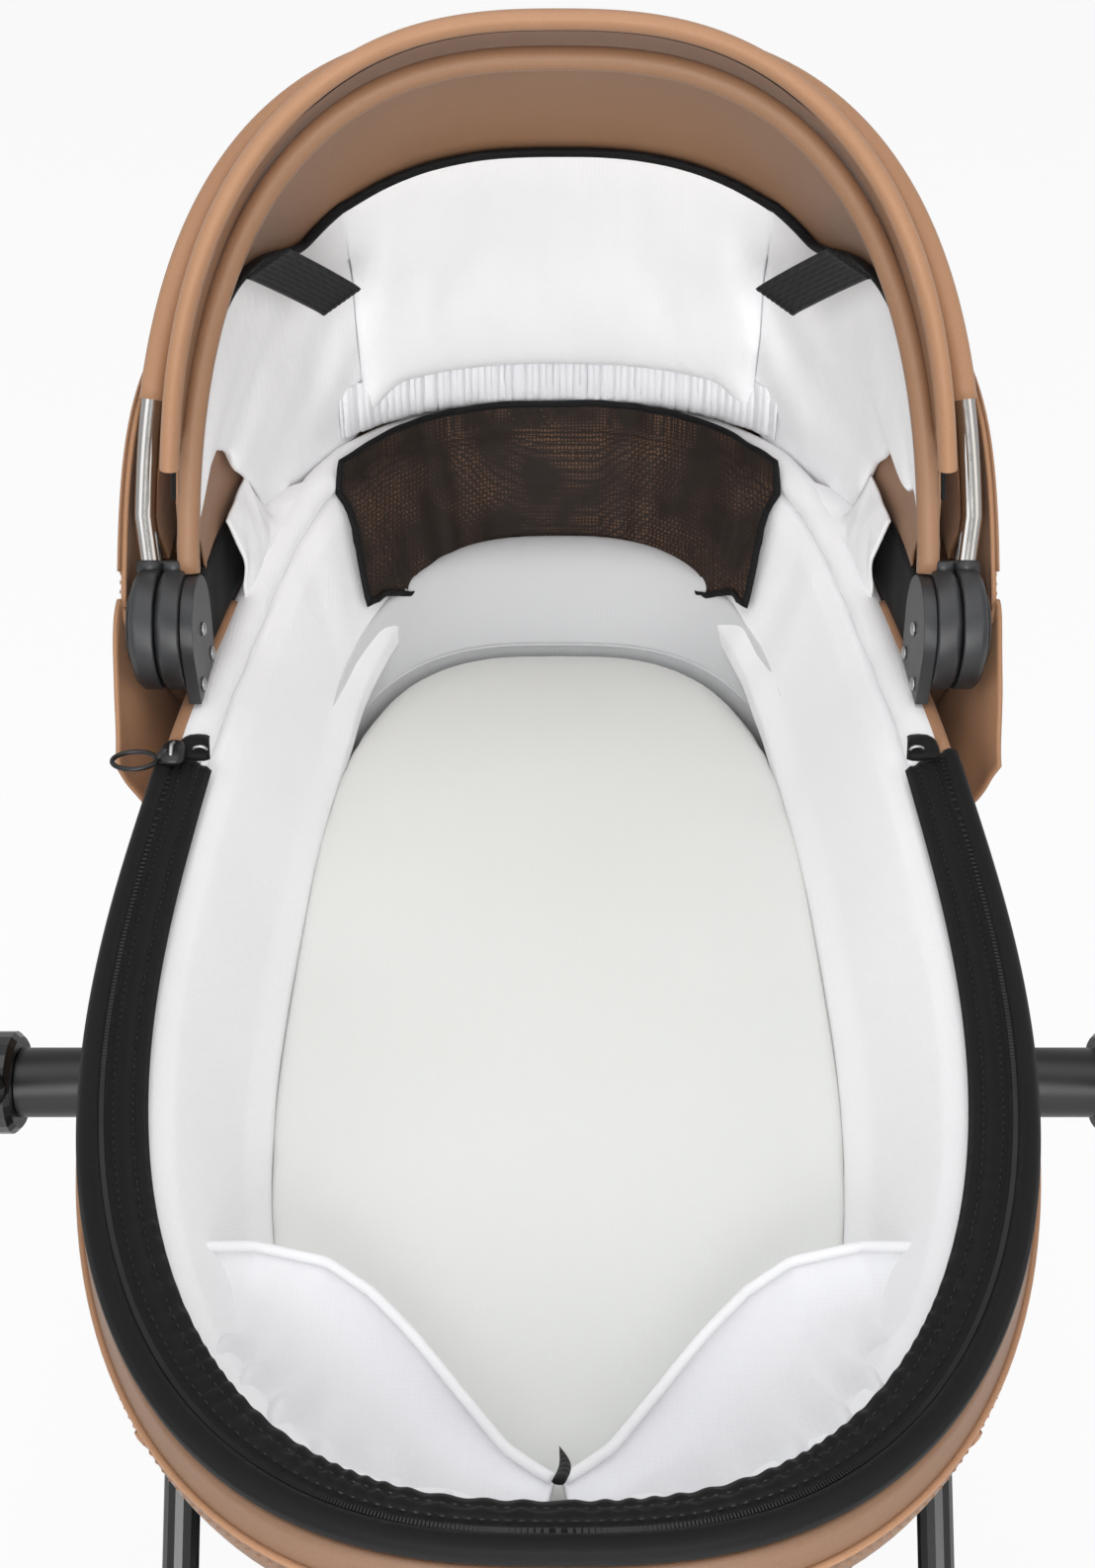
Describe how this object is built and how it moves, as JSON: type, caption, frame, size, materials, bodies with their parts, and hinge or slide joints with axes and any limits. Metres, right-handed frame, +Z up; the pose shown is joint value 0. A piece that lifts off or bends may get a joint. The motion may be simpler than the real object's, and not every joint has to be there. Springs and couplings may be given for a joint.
{
  "type": "pram",
  "caption": "Carrycot pram with a folding hood, padded white lining, lift-off cot and a folding chassis with swivelling front wheels.",
  "frame": {"origin": "on the floor under the middle of the pram's box", "axes": "+Z up, +Y from the foot end, where the parent stands, to the head end; +X to the parent's right"},
  "size_m": [0.6592, 1.1411, 1.0411],
  "materials": {
    "leatherette": "brown coated leatherette, fine grain",
    "cotton": "white woven cotton",
    "jersey": "pale knitted jersey",
    "webbing": "black woven tape",
    "net": "dark brown-black net",
    "plastic": "black moulded polyamide",
    "painted_tube": "black powder-coated aluminium tube",
    "chrome_tube": "polished tube",
    "steel": "zinc-plated steel",
    "tyre": "black foam rubber",
    "zip_metal": "black enamelled zinc",
    "board": "hardboard"
  },
  "bodies": {
    "front_frame": {"side_hub_left": "plastic", "side_hub_right": "plastic", "cot_adapter_left": "plastic", "cot_adapter_right": "plastic", "front_leg_left": "painted_tube", "front_leg_right": "painted_tube", "caster_housing_left": "plastic", "caster_housing_right": "plastic", "front_cross_tube": "painted_tube", "basket_rail": "painted_tube", "basket": "webbing"},
    "rear_frame": {"rear_leg_left": "painted_tube", "rear_leg_right": "painted_tube", "rear_axle": "steel"},
    "brake": {"brake_pedal": "plastic"},
    "handle_lower": {"handle_arm_left": "painted_tube", "handle_arm_right": "painted_tube", "height_collar_left": "plastic", "height_collar_right": "plastic"},
    "handle_upper": {"handle_bar": "painted_tube", "handle_grip": "leatherette"},
    "fork_left": {"caster_fork_left": "plastic"},
    "fork_right": {"caster_fork_right": "plastic"},
    "front_wheel_body_left": {"front_wheel_left": "plastic", "front_tyre_left": "tyre"},
    "front_wheel_body_right": {"front_wheel_right": "plastic", "front_tyre_right": "tyre"},
    "rear_wheel_body_left": {"rear_wheel_left": "plastic", "rear_tyre_left": "tyre"},
    "rear_wheel_body_right": {"rear_wheel_right": "plastic", "rear_tyre_right": "tyre"},
    "cot": {"cot_crossbar": "plastic", "cot_shell": "leatherette", "rim_band": "webbing", "liner": "cotton", "base_board": "board", "mattress": "jersey", "head_bolster": "jersey", "mesh_window": "net", "foot_flap_left": "cotton", "foot_flap_right": "cotton", "hood_rear_panel": "leatherette", "hood_curtain": "cotton", "hood_bracket_left": "plastic", "hood_bracket_right": "plastic"},
    "zip": {"zip_slider": "zip_metal", "zip_pull": "zip_metal"},
    "hood_mid": {"hood_mid_panel": "leatherette", "carry_handle": "chrome_tube", "hood_drum_outer_left": "plastic", "hood_drum_outer_right": "plastic"},
    "hood_front": {"hood_front_panel": "leatherette", "hood_front_roll": "leatherette", "hood_front_bow": "steel", "hood_strap_left": "webbing", "hood_strap_right": "webbing", "hood_drum_inner_left": "plastic", "hood_drum_inner_right": "plastic"}
  },
  "joints": [
    {"name": "handle_fold", "type": "hinge", "parent": "front_frame", "child": "handle_lower", "pos_m": [0, 0.094, 0.54], "axis": [1, 0, 0], "range_deg": [-175, 0]},
    {"name": "rear_fold", "type": "hinge", "parent": "front_frame", "child": "rear_frame", "pos_m": [0, 0.094, 0.54], "axis": [1, 0, 0], "range_deg": [0, 49.5]},
    {"name": "handle_height", "type": "slide", "parent": "handle_lower", "child": "handle_upper", "axis": [0, -0.809, 0.5878], "range_m": [-0.06, 0.06]},
    {"name": "brake_press", "type": "hinge", "parent": "rear_frame", "child": "brake", "pos_m": [0, -0.266, 0.15], "axis": [1, 0, 0], "range_deg": [0, 15]},
    {"name": "cot_lift", "type": "slide", "parent": "front_frame", "child": "cot", "axis": [0, 0, 1], "range_m": [0, 0.3]},
    {"name": "zip_run", "type": "slide", "parent": "cot", "child": "zip", "axis": [0, -1, 0], "range_m": [0, 0.12]},
    {"name": "hood_fold", "type": "hinge", "parent": "cot", "child": "hood_front", "pos_m": [0, 0.244, 0.74], "axis": [1, 0, 0], "range_deg": [-22, 45]},
    {"name": "hood_mid_fold", "type": "hinge", "parent": "cot", "child": "hood_mid", "pos_m": [0, 0.244, 0.74], "axis": [1, 0, 0], "range_deg": [-11.2, 22.7]},
    {"name": "caster_swivel_left", "type": "hinge", "parent": "front_frame", "child": "fork_left", "pos_m": [-0.19, 0.474, 0.24], "axis": [0, 0, 1], "continuous": true},
    {"name": "front_wheel_spin_left", "type": "hinge", "parent": "fork_left", "child": "front_wheel_body_left", "pos_m": [-0.19, 0.439, 0.1], "axis": [1, 0, 0], "continuous": true},
    {"name": "rear_wheel_spin_left", "type": "hinge", "parent": "rear_frame", "child": "rear_wheel_body_left", "pos_m": [-0.265, -0.266, 0.15], "axis": [1, 0, 0], "continuous": true},
    {"name": "caster_swivel_right", "type": "hinge", "parent": "front_frame", "child": "fork_right", "pos_m": [0.19, 0.474, 0.24], "axis": [0, 0, 1], "continuous": true},
    {"name": "front_wheel_spin_right", "type": "hinge", "parent": "fork_right", "child": "front_wheel_body_right", "pos_m": [0.19, 0.439, 0.1], "axis": [1, 0, 0], "continuous": true},
    {"name": "rear_wheel_spin_right", "type": "hinge", "parent": "rear_frame", "child": "rear_wheel_body_right", "pos_m": [0.265, -0.266, 0.15], "axis": [1, 0, 0], "continuous": true}
  ],
  "couplings": [
    {"joint": "rear_fold", "follows": "handle_fold", "ratio": -0.28},
    {"joint": "hood_mid_fold", "follows": "hood_fold", "ratio": 0.5}
  ]
}
